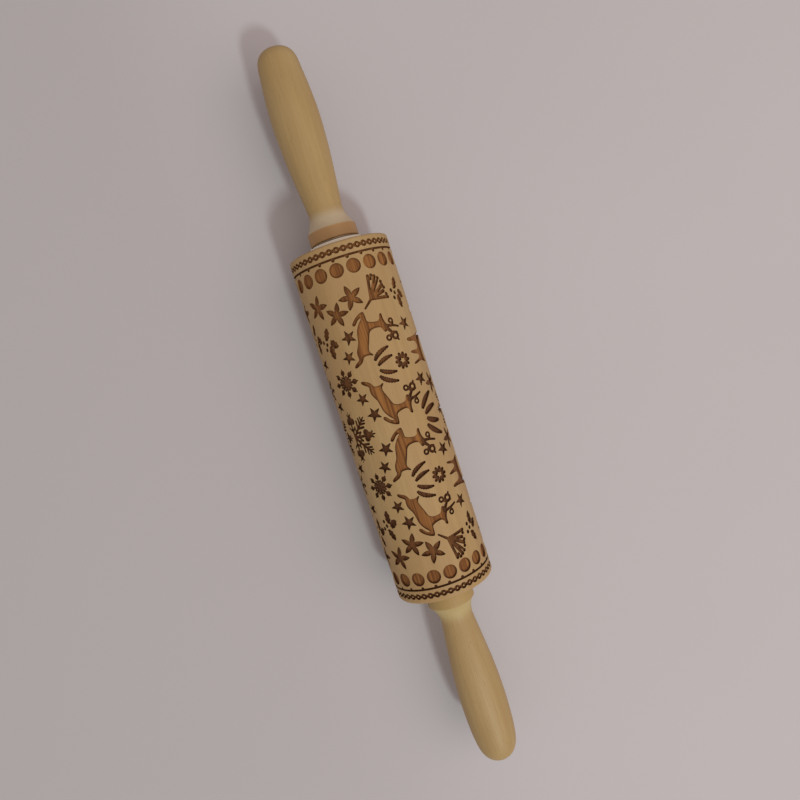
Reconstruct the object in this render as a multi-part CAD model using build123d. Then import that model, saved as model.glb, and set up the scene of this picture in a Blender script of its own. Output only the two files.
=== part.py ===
from build123d import *
import math
import os

os.makedirs("parts", exist_ok=True)

# Embossed rolling pin in millimetres. It lies along X with its barrel on the table, and the
# origin is under the middle of the barrel. Left is -X and right is +X.

# Whole pin
overall_length = 375.0

# Barrel, turned in beech
barrel_diameter = 50.0
barrel_length = 176.0
barrel_edge_round = 1.0
barrel_bore_diameter = 12.0

# Axle rod, steel, glued into both handles
axle_diameter = 8.0
axle_end_chamfer = 0.6
axle_grip_length = 45.0
glue_groove_width = 1.2
glue_groove_depth = 0.3
glue_groove_pitch = 9.0
glue_groove_inset = 8.0
glue_groove_count = 3
bore_end_gap = 1.0
drill_point_share = 0.25

# Flanged nylon bushes, pressed into the barrel's ends
bush_diameter = 20.0
bush_body_length = 15.0
bush_flange_diameter = 27.6
bush_flange_thickness = 3.2
bush_flange_round = 0.4
bush_lead_in = 0.5
axle_running_clearance = 0.05

# Thrust washers, loose on the axle between the bush flanges and the handles
washer_diameter = 23.0
washer_thickness = 0.6
washer_bore_clearance = 0.08
face_clearance = 0.1
end_float = 0.5

# Handles, turned by hand, so the two differ a little
collar_diameter = 24.5
collar_length = 5.8
collar_edge_round = 0.5
flare_length = 9.5
flare_shoulder_run = 2.0
flare_shoulder_drop = 1.15
left_neck_diameter = 17.3
left_grip_diameter = 24.0
right_neck_diameter = 17.0
right_grip_diameter = 23.9
# Places from neck to tip, each with its radius as a share of the grip's radius
left_grip_shares = (
    (0.21, 0.86), (0.37, 0.95), (0.57, 1.0), (0.74, 0.955), (0.84, 0.89), (0.92, 0.80), (0.972, 0.62),
)
right_grip_shares = (
    (0.17, 0.80), (0.36, 0.93), (0.57, 1.0), (0.76, 0.955), (0.86, 0.89), (0.93, 0.78), (0.975, 0.60),
)

# Ornament, sunk into the barrel
ornament_depth = 1.1
cut_overrun = 0.6
figure_start_share = 0.85
ornament_turn_degrees = -7.8
line_groove_width = 0.9
line_from_barrel_end = 7.2
bead_band_from_barrel_end = 3.7
bead_band_width = 2.6
bead_band_depth = 0.5
dot_count = 19
dot_pitch_share = 0.82
dot_row_from_barrel_end = 12.6
left_dot_turn_degrees = 6.3
right_dot_turn_degrees = 3.5
dot_to_field_gap = 1.0
field_shift = 0.8

# Sizes of the ornament's figures, as shares of the figure unit: the room that the figures have
# around the barrel and along it, whichever is less
figure_unit_band_share = 0.9
deer_length_share = 0.340
standing_deer_height_share = 0.340
petal_star_radius_share = 0.085
small_star_radius_share = 0.052
great_snowflake_radius_share = 0.168
half_snowflake_reach_share = 0.075
small_snowflake_radius_share = 0.096
long_leaf_share = 0.144
short_leaf_share = 0.115
daisy_radius_share = 0.059
sprig_leaf_share = 0.105
branch_length_share = 0.222

# Outlines of the figures, as shares of their own sizes
leaping_deer_shares = (
    (-0.37, 0.11), (-0.33, 0.04), (-0.17, 0.08), (-0.01, 0.15), (0.08, 0.22), (0.10, 0.39),
    (0.01, 0.45), (0.09, 0.51), (0.21, 0.50), (0.35, 0.50), (0.35, 0.45), (0.24, 0.41),
    (0.26, 0.28), (0.29, 0.19), (0.47, 0.17), (0.49, 0.14), (0.32, -0.10), (0.26, -0.05),
    (0.37, 0.10), (0.26, -0.02), (0.10, -0.10), (-0.10, -0.15), (-0.28, -0.20), (-0.38, -0.21),
    (-0.49, -0.32), (-0.53, -0.28), (-0.44, -0.13), (-0.36, -0.06),
)
leaping_deer_middle_share = 0.09
leaping_antler_shares = (
    (0.12, 0.46), (0.12, 0.61), (0.22, 0.63), (0.21, 0.71), (0.11, 0.68), (0.06, 0.79),
    (0.02, 0.65), (-0.10, 0.74), (-0.19, 0.68), (-0.10, 0.62), (-0.16, 0.57), (0.04, 0.55),
    (0.06, 0.46),
)
leaping_antler_middle_share = 0.66
standing_deer_shares = (
    (0.22, 0.00), (0.28, 0.00), (0.28, 0.15), (0.31, 0.31), (0.33, 0.44), (0.36, 0.59),
    (0.43, 0.65), (0.53, 0.66), (0.53, 0.71), (0.41, 0.75), (0.34, 0.78), (0.26, 0.74),
    (0.27, 0.65), (0.18, 0.53), (0.00, 0.48), (-0.19, 0.50), (-0.28, 0.54), (-0.25, 0.38),
    (-0.22, 0.25), (-0.28, 0.01), (-0.22, 0.00), (-0.16, 0.22), (-0.09, 0.26), (-0.03, 0.00),
    (0.03, 0.01), (0.00, 0.25), (0.08, 0.30), (0.20, 0.27),
)
standing_deer_middle_share = 0.38
standing_antler_shares = (
    (0.36, 0.73), (0.36, 0.82), (0.45, 0.84), (0.49, 0.92), (0.41, 0.90), (0.38, 0.98),
    (0.34, 0.87), (0.21, 0.98), (0.10, 0.92), (0.20, 0.88), (0.30, 0.80), (0.31, 0.73),
)
standing_antler_middle_share = 0.89
leaf_shares = ((0.0, 0.0), (0.45, -0.13), (1.0, 0.0), (0.45, 0.13))
petal_side_shares = ((0.62, 0.17),)
daisy_valley_share = 0.74
daisy_hole_share = 0.38
petal_valley_share = 0.30
small_star_valley_share = 0.42
small_snowflake_valley_share = 0.40
great_snowflake_valley_share = 0.26
sprig_leaf_turns_degrees = (180, 75, 0)
sprig_leaf_start_share = 0.12
branch_shares = (
    (-0.51, -0.40), (-0.47, -0.44), (-0.14, -0.15), (0.45, 0.00), (0.47, 0.10), (-0.05, -0.04),
    (0.13, 0.36), (0.04, 0.40), (-0.15, -0.02), (-0.28, 0.44), (-0.37, 0.42), (-0.22, -0.10),
)

# Places of the figures on one quarter of the barrel: along it from the middle, as a share of
# half the field, and around it, as a share of one band. Two bands go round.
leaping_deer_places_shares = ((0.175, 0.004, True), (0.615, 0.000, False))
standing_deer_place_shares = (0.437, 0.272)
petal_star_places_shares = (
    (0.892, 0.006, 180, 1.0), (0.814, -0.108, 0, 0.98), (0.894, -0.229, 0, 1.05),
    (0.201, 0.395, 180, 0.95), (0.895, 0.590, 0, 1.0), (0.715, 0.510, 180, 0.95),
)
small_star_places_shares = (
    (0.645, -0.088, 1.05), (0.525, -0.120, 0.92), (0.242, -0.119, 0.87), (0.120, -0.084, 1.0),
    (0.251, 0.290, 1.03), (0.634, 0.303, 1.03), (0.525, 0.643, 0.95), (0.165, 0.665, 0.9),
    (0.905, 0.478, 0.9),
)
long_leaf_places_shares = ((0.011, 0.240, 70), (0.057, 0.230, 57))
short_leaf_places_shares = (
    (0.378, 0.048, 110), (0.349, 0.036, 127), (0.409, 0.048, 70), (0.444, 0.036, 56),
)
daisy_place_shares = (0.401, 0.195)
sprig_places_shares = ((0.652, -0.215), (0.845, 0.336), (0.710, 0.655))
branch_place_shares = (0.894, 0.160)
small_snowflake_places_shares = ((0.366, -0.204), (0.352, 0.580))
half_snowflake_place_share = -0.258
whole_snowflake_place_share = 0.530

# Sizes that follow
barrel_radius = barrel_diameter / 2
half_barrel = barrel_length / 2
floor_radius = barrel_radius - ornament_depth
figure_start = floor_radius * figure_start_share
figure_height = barrel_radius + cut_overrun - figure_start
flange_face = half_barrel + bush_flange_thickness
washer_gap = end_float + face_clearance
washer_face = flange_face + washer_gap
collar_face = washer_face + washer_thickness + face_clearance
handle_length = overall_length / 2 - collar_face
neck_place = collar_length + flare_length
handle_bore_depth = axle_grip_length + bore_end_gap
drill_point_length = axle_diameter * drill_point_share
half_axle = collar_face + axle_grip_length
band_height = math.pi * barrel_radius
dot_diameter = 2 * band_height / dot_count * dot_pitch_share
half_field = half_barrel - dot_row_from_barrel_end - dot_diameter / 2 - dot_to_field_gap
figure_unit = min(band_height * figure_unit_band_share, half_field)
deer_length = figure_unit * deer_length_share
standing_deer_height = figure_unit * standing_deer_height_share
petal_star_radius = figure_unit * petal_star_radius_share
small_star_radius = figure_unit * small_star_radius_share
great_snowflake_radius = figure_unit * great_snowflake_radius_share
small_snowflake_radius = figure_unit * small_snowflake_radius_share
long_leaf = figure_unit * long_leaf_share
short_leaf = figure_unit * short_leaf_share
daisy_radius = figure_unit * daisy_radius_share
sprig_leaf = figure_unit * sprig_leaf_share
branch_length = figure_unit * branch_length_share


# Turned shapes along X

def rod(radius, start, end):
    """Round bar on the X axis."""
    return Pos(X=(start + end) / 2) * Rot(Y=90) * Cylinder(radius, end - start)


def ring(outer_radius, inner_radius, start, end):
    """Tube on the X axis."""
    return rod(outer_radius, start, end) - rod(inner_radius, start, end)


ornament_skin = ring(barrel_radius + cut_overrun, floor_radius, -deer_length, deer_length)


def turned(outline_edges):
    """Solid turned about X from a closed outline drawn in X and radius."""
    return revolve(make_face(outline_edges), axis=Axis.X)


def rims(solid, radius, places):
    """Round edges of one radius at the given places along X."""
    found = solid.edges().filter_by(GeomType.CIRCLE)
    found = found.filter_by(lambda edge: abs(edge.radius - radius) < face_clearance)
    return [edge for edge in found if min(abs(edge.center().X - x) for x in places) < face_clearance]


# Ornament figures, drawn flat and then sunk into the barrel

def bent(points, middle):
    """Points of the unrolled barrel seen straight on, about the middle height of their figure."""
    return [(x, barrel_radius * math.sin((y - middle) / barrel_radius)) for x, y in points]


def patch(points, middle=0.0):
    """Flat face inside a closed outline."""
    return make_face(Polyline(*bent(points, middle), close=True))


def scaled(shares, size):
    """Outline points at their real size."""
    return [(x * size, y * size) for x, y in shares]


def turned_points(points, degrees, x=0.0, y=0.0):
    """Outline points turned about the origin and then moved."""
    cosine = math.cos(math.radians(degrees))
    sine = math.sin(math.radians(degrees))
    return [(x + a * cosine - b * sine, y + a * sine + b * cosine) for a, b in points]


def rayed(rays, radius, valley_share, side_shares=()):
    """Star-like outline: each ray runs from a valley over its side points to its tip and back."""
    half_step = 180 / rays
    points = []
    for number in range(rays):
        valley = [(radius * valley_share, 0.0)]
        points += turned_points(valley, 90 + 2 * half_step * number - half_step)
        near_side = scaled([(along, -side) for along, side in side_shares], radius)
        far_side = scaled(side_shares[::-1], radius)
        points += turned_points(near_side + [(radius, 0.0)] + far_side, 90 + 2 * half_step * number)
    return points


def sunk(figure, middle=0.0):
    """Cutting tool for one flat figure, with a round floor. Middle is its height around the barrel."""
    prism = extrude(Pos(Z=figure_start) * figure, amount=figure_height)
    return Rot(X=-math.degrees(middle / barrel_radius)) * (prism & ornament_skin)


def placed(tool, x_share, around_share):
    """Cutting tool moved to its place, given as shares of the field."""
    angle = math.degrees(around_share * band_height / barrel_radius)
    return Rot(X=-angle) * (Pos(X=x_share * half_field) * tool)


def figure_tool(shares, size, middle_share=0.0):
    """Cutting tool for one outline given in shares of its size."""
    middle = size * middle_share
    return sunk(patch(scaled(shares, size), middle), middle)


def leaping_deer():
    """Body and antlers of a deer that leaps to the right."""
    body = figure_tool(leaping_deer_shares, deer_length, leaping_deer_middle_share)
    return [body, figure_tool(leaping_antler_shares, deer_length, leaping_antler_middle_share)]


def standing_deer():
    """Body and antlers of a deer that stands and looks to the right."""
    body = figure_tool(standing_deer_shares, standing_deer_height, standing_deer_middle_share)
    antlers = figure_tool(standing_antler_shares, standing_deer_height, standing_antler_middle_share)
    return [body, antlers]


def petal_star(turn, size_share):
    """Star of five pointed petals."""
    outline = rayed(5, petal_star_radius * size_share, petal_valley_share, petal_side_shares)
    return sunk(patch(turned_points(outline, turn)))


def small_star(size_share):
    """Plain five-pointed star, point down."""
    outline = rayed(5, small_star_radius * size_share, small_star_valley_share)
    return sunk(patch(turned_points(outline, 180)))


def leaf(length, turn):
    """One slim leaf that grows from the origin."""
    return sunk(patch(turned_points(scaled(leaf_shares, length), turn)))


def daisy():
    """Ring of ten petals round an untouched middle."""
    hole = patch(rayed(3, daisy_radius * daisy_hole_share, 1.0))
    return sunk(patch(rayed(10, daisy_radius, daisy_valley_share)) - hole)


def sprig():
    """Three leaves that spread from one point, as separate tools."""
    tools = []
    for turn in sprig_leaf_turns_degrees:
        start = turned_points([(sprig_leaf * sprig_leaf_start_share, 0.0)], turn)[0]
        tools.append(sunk(patch(turned_points(scaled(leaf_shares, sprig_leaf), turn, *start))))
    return tools


def snowflake(radius, valley_share):
    """Eight-armed snowflake."""
    return sunk(patch(rayed(8, radius, valley_share)))


def half_snowflake():
    """Upper half of a great snowflake."""
    outline = rayed(8, great_snowflake_radius, great_snowflake_valley_share)
    side = great_snowflake_radius * 2
    reach_below = great_snowflake_radius * half_snowflake_reach_share
    upper_half = Pos(Y=side / 2 - reach_below) * Rectangle(side * 2, side)
    return sunk(patch(outline) & upper_half)


def quarter_of_field():
    """Every tool of one quarter of the field: the right half of one band."""
    tools = []
    for x, around, faces_left in leaping_deer_places_shares:
        for tool in leaping_deer():
            tools.append(placed(mirror(tool, about=Plane.YZ) if faces_left else tool, x, around))
    tools += [placed(tool, *standing_deer_place_shares) for tool in standing_deer()]
    for x, around, turn, size_share in petal_star_places_shares:
        tools.append(placed(petal_star(turn, size_share), x, around))
    for x, around, size_share in small_star_places_shares:
        tools.append(placed(small_star(size_share), x, around))
    for x, around, turn in long_leaf_places_shares:
        tools.append(placed(leaf(long_leaf, turn), x, around))
    for x, around, turn in short_leaf_places_shares:
        tools.append(placed(leaf(short_leaf, turn), x, around))
    tools.append(placed(daisy(), *daisy_place_shares))
    for x, around in sprig_places_shares:
        tools += [placed(tool, x, around) for tool in sprig()]
    tools.append(placed(figure_tool(branch_shares, branch_length), *branch_place_shares))
    for x, around in small_snowflake_places_shares:
        tools.append(placed(snowflake(small_snowflake_radius, small_snowflake_valley_share), x, around))
    return tools


def border_of_one_end(dot_turn_degrees):
    """Tools of the right end's border: the turned line, the shallow bead band and the dot row."""
    line = half_barrel - line_from_barrel_end
    bead_band = half_barrel - bead_band_from_barrel_end
    outer = barrel_radius + cut_overrun
    tools = [
        ring(outer, floor_radius, line - line_groove_width / 2, line + line_groove_width / 2),
        ring(
            outer, barrel_radius - bead_band_depth,
            bead_band - bead_band_width / 2, bead_band + bead_band_width / 2,
        ),
    ]
    dot = Pos(X=half_barrel - dot_row_from_barrel_end) * sunk(Circle(dot_diameter / 2))
    tools += [Rot(X=360 / dot_count * number - dot_turn_degrees) * dot for number in range(dot_count)]
    return tools


def ornament():
    """All the tools of the ornament, round the whole barrel."""
    right_half = quarter_of_field()
    band = right_half + [mirror(tool, about=Plane.YZ) for tool in right_half]
    whole_snowflake = snowflake(great_snowflake_radius, great_snowflake_valley_share)
    band.append(placed(half_snowflake(), 0.0, half_snowflake_place_share))
    band.append(placed(whole_snowflake, 0.0, whole_snowflake_place_share))
    field = band + [Rot(X=180) * tool for tool in band]
    left_border = [mirror(tool, about=Plane.YZ) for tool in border_of_one_end(left_dot_turn_degrees)]
    right_border = border_of_one_end(right_dot_turn_degrees)
    field = [Pos(X=field_shift) * Rot(X=-ornament_turn_degrees) * tool for tool in field]
    return field + left_border + right_border


# Pieces, each on the X axis

def barrel():
    """Engraved barrel with its through bore and a seat for a bush at each end."""
    body = rod(barrel_radius, -half_barrel, half_barrel)
    body = fillet(rims(body, barrel_radius, (-half_barrel, half_barrel)), barrel_edge_round)
    body = body - rod(barrel_bore_diameter / 2, -half_barrel, half_barrel)
    for side in (-1, 1):
        seat = sorted((side * half_barrel, side * (half_barrel - bush_body_length)))
        body = body - rod(bush_diameter / 2, *seat)
    pieces = [solid for tool in ornament() for solid in tool.solids()]
    return body.cut(*pieces)


def bush():
    """Right-hand bush: a sleeve in the barrel with a flange on its end face."""
    inner_end = half_barrel - bush_body_length
    body = rod(bush_diameter / 2, inner_end, flange_face)
    body = body + rod(bush_flange_diameter / 2, half_barrel, flange_face)
    body = chamfer(rims(body, bush_diameter / 2, (inner_end,)), bush_lead_in)
    body = fillet(rims(body, bush_flange_diameter / 2, (flange_face,)), bush_flange_round)
    return body - rod(axle_diameter / 2 + axle_running_clearance, inner_end, flange_face)


def washer():
    """Right-hand thrust washer."""
    bore = axle_diameter / 2 + washer_bore_clearance
    return ring(washer_diameter / 2, bore, washer_face, washer_face + washer_thickness)


def axle_rod():
    """Steel rod with chamfered ends and glue grooves in each handle's reach."""
    body = rod(axle_diameter / 2, -half_axle, half_axle)
    body = chamfer(rims(body, axle_diameter / 2, (-half_axle, half_axle)), axle_end_chamfer)
    for side in (-1, 1):
        for number in range(glue_groove_count):
            middle = half_axle - glue_groove_inset - number * glue_groove_pitch
            groove = ring(
                axle_diameter / 2 + cut_overrun, axle_diameter / 2 - glue_groove_depth,
                middle - glue_groove_width / 2, middle + glue_groove_width / 2,
            )
            body = body - (groove if side > 0 else mirror(groove, about=Plane.YZ))
    return body


def handle(neck_diameter, grip_diameter, grip_shares):
    """Right-hand handle: collar, hollow flare, neck, swelling grip and closed nose."""
    collar_radius = collar_diameter / 2
    neck_radius = neck_diameter / 2
    grip_radius = grip_diameter / 2
    grip_run = handle_length - neck_place
    edge = (collar_length, collar_radius)
    neck = (neck_place, neck_radius)
    shoulder = (collar_length + flare_shoulder_run, collar_radius - flare_shoulder_drop)
    fall = (flare_shoulder_run, -flare_shoulder_drop)
    grip = [(neck_place + place * grip_run, radius * grip_radius) for place, radius in grip_shares]
    tip = (handle_length, 0.0)
    outline = [
        Line((0.0, 0.0), (0.0, collar_radius)),
        Line((0.0, collar_radius), edge),
        Spline(edge, shoulder, neck, tangents=(fall, (1, 0))),
        Spline(neck, *grip, tip, tangents=((1, 0), (0, -1))),
        Line(tip, (0.0, 0.0)),
    ]
    body = Pos(X=collar_face) * turned(outline)
    body = fillet(rims(body, collar_radius, (collar_face,)), collar_edge_round)
    bore = rod(axle_diameter / 2, collar_face, collar_face + handle_bore_depth)
    drill_point = Rot(Y=90) * Cone(axle_diameter / 2, 0.0, drill_point_length)
    drill_point = Pos(X=collar_face + handle_bore_depth + drill_point_length / 2) * drill_point
    return body - bore - drill_point


def main():
    """Writes every piece, raised so that the barrel stands on the table."""
    right_bush = bush()
    right_washer = washer()
    left_handle = handle(left_neck_diameter, left_grip_diameter, left_grip_shares)
    pieces = {
        "barrel": barrel(),
        "axle_rod": axle_rod(),
        "left_bush": mirror(right_bush, about=Plane.YZ),
        "right_bush": right_bush,
        "left_washer": mirror(right_washer, about=Plane.YZ),
        "right_washer": right_washer,
        "left_handle": mirror(left_handle, about=Plane.YZ),
        "right_handle": handle(right_neck_diameter, right_grip_diameter, right_grip_shares),
    }
    for name, piece in pieces.items():
        export_step(Pos(Z=barrel_radius) * piece, f"parts/{name}.step")


main()
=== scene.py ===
import math

import bpy
import numpy
from mathutils import Matrix, Vector
from mathutils.geometry import delaunay_2d_cdt
from mathutils.kdtree import KDTree


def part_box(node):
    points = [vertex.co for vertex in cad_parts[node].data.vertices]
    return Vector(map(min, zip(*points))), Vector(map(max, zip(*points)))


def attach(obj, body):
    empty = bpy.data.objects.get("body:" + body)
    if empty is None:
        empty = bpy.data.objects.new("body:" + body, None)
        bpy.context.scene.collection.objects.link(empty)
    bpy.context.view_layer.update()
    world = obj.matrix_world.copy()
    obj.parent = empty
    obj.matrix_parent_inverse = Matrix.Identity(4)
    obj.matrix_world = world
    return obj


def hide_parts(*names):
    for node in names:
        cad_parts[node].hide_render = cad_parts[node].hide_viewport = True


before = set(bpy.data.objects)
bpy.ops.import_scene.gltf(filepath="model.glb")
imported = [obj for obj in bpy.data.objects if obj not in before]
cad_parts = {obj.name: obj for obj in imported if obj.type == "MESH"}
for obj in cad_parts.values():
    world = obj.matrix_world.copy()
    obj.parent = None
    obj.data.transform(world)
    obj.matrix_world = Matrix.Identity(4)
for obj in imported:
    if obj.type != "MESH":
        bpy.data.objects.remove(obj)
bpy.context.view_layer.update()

# The pin lies along X on its barrel. The frame and the materials are in metres, and all other
# sizes are in millimetres. The ornament is drawn on the unrolled barrel: x along it from its
# middle, and u around it, counted from the top line towards +Y.
MM = 0.001
barrel_low, barrel_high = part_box("barrel")
axis_height = (barrel_low.z + barrel_high.z) / 2
barrel_radius = (barrel_high.z - barrel_low.z) / 2 / MM
half_barrel = barrel_high.x / MM
edge_round = 1.0
seat_radius, seat_depth = 10.0, 15.0
barrel_bore_radius = 6.0
girth = 2 * math.pi * barrel_radius

# Handles
collar_length = 5.8
collar_edge_round = 0.5
collar_lip = 0.2
flare_length = 9.5
handle_bore_depth = 46.0

# Axle, bushes and washers
axle_radius = 4.0
axle_chamfer = 0.6
bush_bore_radius = 4.05
spigot_chamfer = 0.5
flange_edge_round = 0.4
washer_bore_radius = 4.08
washer_edge_round = 0.15

# Ornament: a band of figures, cut twice round the barrel, and how far it is turned off the top line
carving_depth = 1.1
band = girth / 2
ornament_turn = -3.2
half_snowflake_place, great_snowflake_place = -21.7, 41.6

# The figures lie a little to the right of the barrel's middle, less so towards its ends
middle_drift, drift_lost, outermost_place = 1.5, 0.7, 63.0

# Border of each end, placed from the barrel's middle, and the turned line from the end face
dot_count, dot_place, dot_radius = 19, 75.4, 3.45
tick_count, tick_place, tick_radius = 23, 80.1, 0.85
bead_count, bead_place, bead_radius, bead_eye_radius = 46, 84.2, 1.55, 0.36
half_link_length, half_link_width = 1.0, 0.7
line_far_side, line_near_side = 7.75, 6.65

# Where the first dot, tick and bead lie at the left and the right end
border_starts = ((-1, (2.77, 1.15, 0.59)), (1, (1.75, -0.07, -0.78)))

# How strongly each kind of figure is burnt, from 0 to 1
deer_burn, star_burn, fine_burn = 0.0, 0.5, 0.9
dot_burn, tick_burn, bead_burn, line_burn = 0.0, 0.3, 0.35, 0.8

# Fineness of the meshes
rows_around = 144
small_steps, bush_steps, axle_steps = 96, 128, 64
land_step = 2.4
floor_step = 0.65
outline_step = 0.58
clear_of_outline = 0.24
same_point = 0.0005
curve_parts = 8


# Outline helpers

def turned(points, degrees, x=0.0, u=0.0):
    """Points turned about the origin and then moved."""
    cosine = math.cos(math.radians(degrees))
    sine = math.sin(math.radians(degrees))
    return [(x + a * cosine - b * sine, u + a * sine + b * cosine) for a, b in points]


def softened(points, rounds=2):
    """Closed outline with its corners cut, so that it reads as carved curves."""
    for _ in range(rounds):
        cut = []
        for here, after in zip(points, points[1:] + points[:1]):
            cut.append((0.75 * here[0] + 0.25 * after[0], 0.75 * here[1] + 0.25 * after[1]))
            cut.append((0.25 * here[0] + 0.75 * after[0], 0.25 * here[1] + 0.75 * after[1]))
        points = cut
    return points


def circle(x, u, radius, corners):
    """Round outline."""
    angles = [2 * math.pi * number / corners for number in range(corners)]
    return [(x + radius * math.cos(angle), u + radius * math.sin(angle)) for angle in angles]


def curl(x, u, outer, inner):
    """Ring-shaped figure: an outline with an untouched middle."""
    return (circle(x, u, outer, 18), circle(x, u, inner, 12))


def stroke(start, end, width, end_width=None):
    """Bar with round ends between two points."""
    end_width = width if end_width is None else end_width
    length = math.hypot(end[0] - start[0], end[1] - start[1])
    degrees = math.degrees(math.atan2(end[1] - start[1], end[0] - start[0]))
    points = []
    for number in range(7):
        angle = math.pi / 2 + math.pi * number / 6
        points.append((width / 2 * math.cos(angle), width / 2 * math.sin(angle)))
    for number in range(7):
        angle = -math.pi / 2 + math.pi * number / 6
        points.append((length + end_width / 2 * math.cos(angle), end_width / 2 * math.sin(angle)))
    return (turned(points, degrees, *start), None)


def solid(points):
    """Figure with no untouched middle."""
    return (points, None)


# Figures of the ornament. Each is a list of (outline, untouched middle or None).

def leaf(length, width, degrees):
    """Slim pointed leaf from its foot to its tip."""
    points = []
    for number in range(11):
        along = number / 10
        points.append((length * along, -width / 2 * math.sin(math.pi * along ** 0.85) ** 0.8))
    for number in range(9, 0, -1):
        along = number / 10
        points.append((length * along, width / 2 * math.sin(math.pi * along ** 0.85) ** 0.8))
    return [solid(turned(points, degrees))]


def bent_leaf(foot, elbow, tip, width, tooth=0.0):
    """Leaf that bends over an elbow, slim at its foot and blunt at its tip, its sides cut in teeth."""
    points = []
    for side in (-1, 1):
        edge = []
        for number in range(17):
            t = number / 16
            x, u = ((1 - t) ** 2 * a + 2 * t * (1 - t) * b + t * t * c for a, b, c in zip(foot, elbow, tip))
            along_x, along_u = (2 * (1 - t) * (b - a) + 2 * t * (c - b) for a, b, c in zip(foot, elbow, tip))
            reach = width / 2 * math.sin(math.pi * (0.12 + 0.80 * t)) ** 0.7 / math.hypot(along_x, along_u)
            reach *= side * (1 + (tooth if number % 2 else -tooth))
            edge.append((x - along_u * reach, u + along_x * reach))
        points += edge if side < 0 else edge[::-1]
    return [solid(points)]


def spread_leaves():
    """Two toothed leaves that bend away from each other's mirror images."""
    inner = bent_leaf((1.0, 0.8), (3.6, 3.4), (3.9, 8.8), 2.2, 0.13)
    return inner + bent_leaf((3.6, 0.0), (7.2, 2.0), (8.4, 8.2), 2.3, 0.13)


def petal_star(radius, degrees):
    """Five pointed petals that meet in the middle."""
    figure = []
    for number in range(5):
        figure += leaf(radius, radius * 0.44, degrees + 90 + 72 * number)
    return figure + [solid(circle(0.0, 0.0, radius * 0.24, 12))]


def small_star(radius):
    """Plain five-pointed star with slightly blunt points."""
    points = []
    for number in range(5):
        points += turned([(radius * 0.44, 0.0)], 234 + 72 * number)
        tip = [(radius * 0.9, -0.25), (radius, 0.0), (radius * 0.9, 0.25)]
        points += turned(tip, 270 + 72 * number)
    return [solid(points)]


leaping_deer_outline = [
    (-9.1, 1.4), (-9.0, 2.1), (-8.1, 1.5), (-6.8, 0.5), (-5.0, 0.9), (-1.6, 2.3), (1.2, 3.2), (2.3, 4.4),
    (2.7, 6.4), (2.5, 8.4), (2.0, 9.6), (0.2, 10.1), (-0.6, 10.9), (0.0, 12.2), (1.4, 13.2), (2.8, 12.9),
    (4.2, 12.0), (6.2, 11.6), (8.4, 11.7), (8.7, 10.9), (7.8, 10.1), (6.2, 9.9), (5.4, 8.8), (5.6, 6.6),
    (6.2, 4.6), (7.0, 3.7), (9.0, 3.8), (11.4, 3.5), (11.6, 2.7), (10.9, 0.9), (9.6, -1.1), (8.2, -2.5),
    (7.1, -3.3), (6.3, -2.9), (6.2, -2.0), (7.0, -1.2), (8.3, -0.2), (9.0, 1.1), (9.0, 1.7), (8.1, 1.1),
    (6.8, -0.2), (5.0, -1.4), (3.2, -2.2), (0.4, -2.7), (-2.0, -3.2), (-3.8, -4.3), (-5.4, -5.1),
    (-7.2, -5.3), (-9.1, -5.0), (-9.9, -6.1), (-10.8, -7.6), (-11.9, -8.4), (-12.7, -7.8), (-12.0, -6.0),
    (-11.2, -4.3), (-9.8, -3.2), (-8.6, -2.7), (-8.4, -1.0), (-8.5, 0.4),
]
standing_deer_outline = [
    (5.1, 0.0), (6.9, 0.0), (6.8, 3.6), (7.4, 7.6), (8.1, 10.6), (8.8, 14.2), (10.3, 15.4),
    (12.7, 15.9), (12.8, 17.1), (10.2, 17.9), (8.4, 18.8), (6.6, 18.4), (5.6, 17.2), (6.4, 15.4),
    (4.4, 12.7), (0.2, 11.6), (-4.6, 12.0), (-6.4, 13.0), (-7.0, 12.6), (-6.1, 9.0), (-5.2, 6.2),
    (-6.5, 0.4), (-5.3, 0.0), (-4.0, 5.4), (-2.2, 6.3), (-0.8, 0.0), (0.6, 0.2), (0.2, 6.0),
    (2.0, 7.2), (4.6, 6.4),
]


def leaping_deer():
    """Body of a deer that leaps to the right."""
    return [solid(softened(leaping_deer_outline))]


def leaping_antlers():
    """Curled antlers of the leaping deer."""
    return [
        stroke((2.2, 12.2), (1.7, 15.4), 1.6, 1.3), stroke((1.7, 15.4), (0.6, 18.6), 1.3, 1.0),
        stroke((1.8, 15.0), (3.0, 15.9), 1.3), curl(4.0, 15.2, 1.5, 0.5),
        stroke((0.7, 12.4), (-1.4, 14.2), 1.8, 1.4), curl(-3.2, 15.3, 2.1, 0.75),
        stroke((-4.5, 16.0), (-5.5, 16.6), 1.3, 1.0), stroke((-1.5, 15.2), (-1.9, 16.8), 1.3, 1.0),
        stroke((-1.6, 13.9), (-2.6, 12.8), 1.1), curl(-3.5, 11.7, 1.6, 0.55),
    ]


def standing_deer():
    """Body of a deer that stands and looks to the right."""
    return [solid(softened(standing_deer_outline))]


def standing_antlers():
    """Curled antlers of the standing deer."""
    return [
        stroke((7.9, 18.4), (7.2, 24.0), 1.6, 0.9),
        stroke((7.6, 19.6), (8.8, 20.6), 1.1), curl(9.9, 21.6, 1.7, 0.65),
        stroke((7.6, 18.6), (4.6, 21.0), 1.6, 1.2), curl(3.4, 22.2, 2.1, 0.8),
        stroke((5.2, 20.4), (3.6, 19.0), 1.1), curl(2.8, 18.2, 1.5, 0.5),
    ]


def daisy():
    """Ring of ten petals round an untouched middle of five corners."""
    points = []
    for number in range(60):
        angle = 2 * math.pi * number / 60
        radius = 2.9 + 1.3 * abs(math.sin(5 * angle)) ** 0.6
        points.append((radius * math.cos(angle), radius * math.sin(angle)))
    middle = []
    for number in range(5):
        for radius, lag in ((1.35, 90), (0.8, 54)):
            a, b = turned([(1.0, 0.0)], 72 * number - lag)[0]
            middle.append((radius * a, radius * b))
    return [(points, middle)]


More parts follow.
